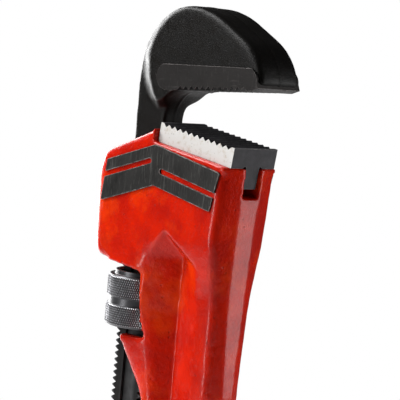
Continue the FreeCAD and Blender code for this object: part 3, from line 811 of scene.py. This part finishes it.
class WRENCH_OT_nut(bpy.types.Operator):
    """The adjusting nut with its two knurled bands"""
    bl_idname = "wrench.nut"
    bl_label = "Adjusting nut"

    def execute(self, context):
        sizes = context.scene.wrench_nut
        radius, depth = sizes.radius_mm, sizes.knurl_depth_mm
        low, high, bore = -11.45, 13.45, 11.48
        band_low, groove, band_high = 9.6, 3.8, 9.5
        groove_low, groove_high = low + band_low, low + band_low + groove
        band_top = groove_high + band_high
        knurl_rows = {}
        rows = 8
        hub = 13.7
        outline = [(bore, low + 0.9), (bore + 0.8, low), (radius - 1.5, low),
                   (radius - 1.1, low + 0.12), (radius - 0.42, low + 1.0)]
        for start, end in ((low + 1.3, groove_low - 0.35), (groove_high + 0.35, band_top - 0.8)):
            for row in range(rows + 1):
                knurl_rows[len(outline)] = row
                outline.append((radius - depth, start + (end - start) * row / rows))
            if start < groove_low:
                outline += [(radius - 0.5, groove_low), (radius - 1.15, groove_low + 0.35),
                            (radius - 1.25, groove_low + 0.7), (radius - 1.25, groove_high - 0.7),
                            (radius - 1.15, groove_high - 0.35), (radius - 0.5, groove_high)]
        outline += [(radius - 0.45, band_top - 0.5), (radius - 0.8, band_top - 0.08),
                    (radius - 1.1, band_top), (14.0, band_top), (hub, band_top + 0.25),
                    (hub, high - 0.5), (13.55, high - 0.12), (13.2, high), (bore + 0.7, high),
                    (bore, high - 0.8)]
        bm = bmesh.new()
        crest_layer = bm.verts.layers.float.new("crest")
        row_layer = bm.verts.layers.int.new("row")
        last = None
        for index, (r, z) in enumerate(outline):
            vert = bm.verts.new(Vector((r, 0.0, z)) * MM)
            vert[row_layer] = knurl_rows.get(index, -1) + 1
            if last:
                bm.edges.new((last, vert))
            else:
                first = vert
            last = vert
        bm.edges.new((last, first))
        steps = 2 * sizes.knurls
        bmesh.ops.spin(bm, geom=list(bm.verts) + list(bm.edges), cent=(0, 0, 0), axis=(0, 0, 1),
                       dvec=(0, 0, 0), angle=2 * math.pi, steps=steps, use_merge=True,
                       use_duplicate=False)
        valleys = []
        for vert in bm.verts:
            if not vert[row_layer]:
                continue
            around = round(math.atan2(vert.co.y, vert.co.x) / (2 * math.pi) * steps)
            if (around + vert[row_layer]) % 2:
                vert.co += Vector((vert.co.x, vert.co.y, 0.0)).normalized() * depth * MM
                vert[crest_layer] = 1.0
            else:
                valleys.append(vert)
        bmesh.ops.connect_verts(bm, verts=valleys)
        bmesh.ops.recalc_face_normals(bm, faces=bm.faces)
        bmesh.ops.transform(bm, matrix=SHANK, verts=bm.verts)
        add_object("knurled_nut", bm, [finishes()["knurl_metal"]], "nut",
                   ["adjusting_nut"], sharp_deg=24)
        return {"FINISHED"}


class WRENCH_OT_heel_jaw(bpy.types.Operator):
    """The toothed heel jaw and its roll pin"""
    bl_idname = "wrench.heel_jaw"
    bl_label = "Heel jaw"

    def execute(self, context):
        bm = merged_cad("heel_jaw")
        flat_faces(bm)
        bevel_sharp(bm, 0.22, 2)
        add_object("heel_jaw_block", bm, [finishes()["heel_metal"]], "handle",
                   ["heel_jaw"], sharp_deg=35)
        bm = merged_cad("heel_jaw_pin")
        bevel_sharp(bm, 0.10, 2, 50.0)
        add_object("roll_pin", bm, [finishes()["pin_metal"]], "handle",
                   ["heel_jaw_pin"], sharp_deg=35)
        return {"FINISHED"}


class WRENCH_OT_springs(bpy.types.Operator):
    """The leaf spring, its rivet and the coil spring behind the shank"""
    bl_idname = "wrench.springs"
    bl_label = "Springs"

    def execute(self, context):
        steel = finishes()["spring_metal"]
        low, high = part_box("flat_spring")
        bm = merged_cad("flat_spring")
        flat_faces(bm)
        bevel_sharp(bm, 0.12, 2)
        leaf_parts = 12
        for step in range(1, leaf_parts):
            height = low.z + (high.z - low.z) * step / leaf_parts
            bmesh.ops.bisect_plane(bm, geom=everything(bm), dist=1e-7,
                                   plane_co=(0, 0, height), plane_no=(0, 0, 1))
        leaf = add_object("leaf_spring", bm, [steel], None, ["flat_spring"],
                          sharp_deg=35)
        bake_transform(leaf)
        low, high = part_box("coil_spring")
        middle = (low + high) / 2.0
        wire, turns, steps = 0.4 * MM, 4, 20
        reach = (high.z - low.z) / 2.0 - wire
        run = high.x - low.x - 2.2 * wire
        bm = bmesh.new()
        ring = bmesh.ops.create_circle(bm, cap_ends=True, radius=wire, segments=10)
        for axis in ("Y", "Z"):
            bmesh.ops.rotate(bm, verts=ring["verts"], cent=(0, 0, 0),
                             matrix=Matrix.Rotation(math.pi / 2, 3, axis))
        bmesh.ops.translate(bm, verts=ring["verts"], vec=(low.x + 1.1 * wire, 0.0, middle.z + reach))
        bmesh.ops.spin(bm, geom=everything(bm),
                       cent=(0, middle.y, middle.z), axis=(1, 0, 0),
                       dvec=(run / (turns * steps), 0, 0), angle=2 * math.pi * turns,
                       steps=turns * steps, use_merge=False, use_duplicate=False)
        bmesh.ops.recalc_face_normals(bm, faces=bm.faces)
        coil = add_object("coil_of_spring", bm, [steel], None, ["coil_spring"])
        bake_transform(coil)
        bm = merged_cad("spring_rivet")
        bevel_sharp(bm, 0.10, 2, 50.0)
        add_object("rivet", bm, [steel], "handle", ["spring_rivet"], sharp_deg=35)
        return {"FINISHED"}


class WRENCH_OT_stage(bpy.types.Operator):
    """Pale floor, soft lights and the camera"""
    bl_idname = "wrench.stage"
    bl_label = "Stage"

    def execute(self, context):
        scene = context.scene
        scene.view_settings.view_transform = "Standard"
        scene.view_settings.look = "None"
        self.floor()
        self.world(scene)
        self.lights()
        self.camera(scene)
        return {"FINISHED"}

    def floor(self):
        bm = bmesh.new()
        bmesh.ops.create_circle(bm, cap_ends=True, segments=128, radius=0.72)
        bmesh.ops.translate(bm, verts=bm.verts, vec=(0.0, 0.0, CAD_BOX[0].z - 0.0002))
        mesh = bpy.data.meshes.new("floor")
        bm.to_mesh(mesh)
        bm.free()
        floor = bpy.data.objects.new("floor", mesh)
        bpy.context.scene.collection.objects.link(floor)
        material, wires = new_material("pale_floor")
        place = wires.add("ShaderNodeTexCoord").outputs["Object"]
        tone = wires.blend(wires.noise(place, 40.0), (0.86, 0.86, 0.86, 1.0), (0.89, 0.89, 0.89, 1.0))
        surface = wires.add("ShaderNodeBsdfPrincipled", {"Base Color": tone, "Roughness": 0.7})
        wires.add("ShaderNodeOutputMaterial", {"Surface": surface.outputs["BSDF"]})
        mesh.materials.append(material)

    def world(self, scene):
        """White to look at, soft grey as a light."""
        scene.world = bpy.data.worlds.new("studio")
        scene.world.use_nodes = True
        wires = Wiring(scene.world.node_tree)
        seen = wires.add("ShaderNodeLightPath").outputs["Is Camera Ray"]
        strength = wires.ramp(seen, 0.0, 1.0, 0.05, 1.0)
        sky = wires.add("ShaderNodeBackground", {"Color": (1.0, 1.0, 1.0, 1.0), "Strength": strength})
        wires.add("ShaderNodeOutputWorld", {"Surface": sky.outputs[0]})

    def lights(self):
        aim = Vector((-0.005, 0.0, 0.250))
        for name, values in LIGHTS.items():
            azimuth, elevation, distance, width, height, power = values
            lamp = bpy.data.lights.new(name, "AREA")
            lamp.shape = "RECTANGLE"
            lamp.size, lamp.size_y = width, height
            lamp.energy = power
            a, e = math.radians(azimuth), math.radians(elevation)
            back = Vector((math.sin(a) * math.cos(e), -math.cos(a) * math.cos(e), math.sin(e)))
            holder = bpy.data.objects.new(name, lamp)
            holder.location = aim + back * distance
            holder.rotation_euler = (-back).to_track_quat("-Z", "Y").to_euler()
            holder.visible_camera = False
            bpy.context.scene.collection.objects.link(holder)

    def camera(self, scene):
        azimuth, elevation, roll = math.radians(47.0), math.radians(3.5), math.radians(3.5)
        aim, distance = Vector((-0.0005, 0.0, 0.253)), 0.750
        back = Vector((math.sin(azimuth) * math.cos(elevation),
                       -math.cos(azimuth) * math.cos(elevation), math.sin(elevation)))
        level = Vector((math.cos(azimuth), math.sin(azimuth), 0.0))
        upright = back.cross(level)
        across = level * math.cos(roll) + upright * math.sin(roll)
        up = upright * math.cos(roll) - level * math.sin(roll)
        turn = Matrix((across, up, back)).transposed().to_4x4()
        lens = bpy.data.cameras.new("camera")
        lens.sensor_width = 36.0
        lens.lens = 155.25
        lens.clip_start, lens.clip_end = 0.01, 50.0
        camera = bpy.data.objects.new("camera", lens)
        camera.matrix_world = Matrix.Translation(aim + back * distance) @ turn
        scene.collection.objects.link(camera)
        scene.camera = camera


class WRENCH_PT_panel(bpy.types.Panel):
    bl_label = "Straight pipe wrench"
    bl_space_type = "VIEW_3D"
    bl_region_type = "UI"
    bl_category = "Wrench"

    def draw(self, context):
        for settings, operators in PANEL_ROWS:
            box = self.layout.box()
            if settings:
                group = getattr(context.scene, settings)
                for name in group.__annotations__:
                    box.prop(group, name)
            for operator in operators:
                box.operator(operator.bl_idname)


SETTINGS = {
    "wrench_finish": WrenchFinish,
    "wrench_casting": WrenchCasting,
    "wrench_moving_jaw": WrenchMovingJaw,
    "wrench_nut": WrenchNut,
}

PANEL_ROWS = (
    ("wrench_finish", (WRENCH_OT_finishes,)),
    ("wrench_casting", (WRENCH_OT_handle,)),
    ("wrench_moving_jaw", (WRENCH_OT_moving_jaw,)),
    ("wrench_nut", (WRENCH_OT_nut,)),
    (None, (WRENCH_OT_heel_jaw, WRENCH_OT_springs, WRENCH_OT_stage)),
)

OPERATORS = tuple(operator for _, row in PANEL_ROWS for operator in row)


def register():
    for cls in (*SETTINGS.values(), *OPERATORS, WRENCH_PT_panel):
        bpy.utils.register_class(cls)
    for name, cls in SETTINGS.items():
        setattr(bpy.types.Scene, name, PointerProperty(type=cls))


def unregister():
    for name in SETTINGS:
        delattr(bpy.types.Scene, name)
    for cls in reversed((*SETTINGS.values(), *OPERATORS, WRENCH_PT_panel)):
        bpy.utils.unregister_class(cls)


def main():
    register()
    for operator in OPERATORS:
        group, name = operator.bl_idname.split(".")
        getattr(getattr(bpy.ops, group), name)()


if __name__ == "__main__":
    main()
